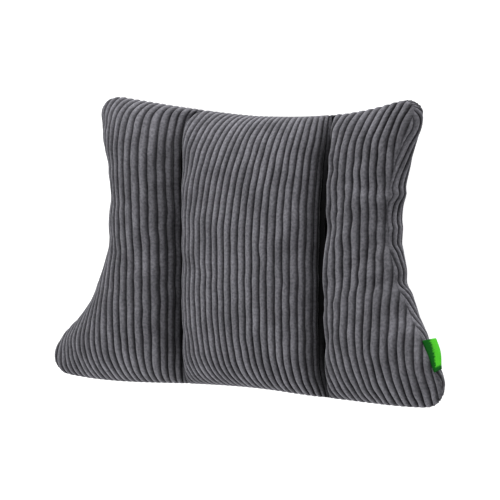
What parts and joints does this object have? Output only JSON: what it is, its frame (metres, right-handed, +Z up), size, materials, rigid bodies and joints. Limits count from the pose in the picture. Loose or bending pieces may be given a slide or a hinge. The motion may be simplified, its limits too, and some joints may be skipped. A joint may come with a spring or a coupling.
{
  "type": "lumbar pillow",
  "caption": "Trapezoid lumbar pillow in wide-wale corduroy, its crowned front sewn into upright sections, with a small folded label in a side seam.",
  "frame": {"origin": "middle of the box around the part, on the surface that the pressed flat back lies on", "axes": "+X to the right along the wide bottom edge, +Y from the bottom edge to the top edge, +Z up out of the front face"},
  "size_m": [0.4857, 0.3158, 0.1032],
  "materials": {
    "corduroy": "matt cut pile in wide upright wales",
    "ribbon": "plain woven ribbon"
  },
  "bodies": {
    "root": {"pillow": "corduroy", "label": "ribbon"}
  },
  "joints": []
}
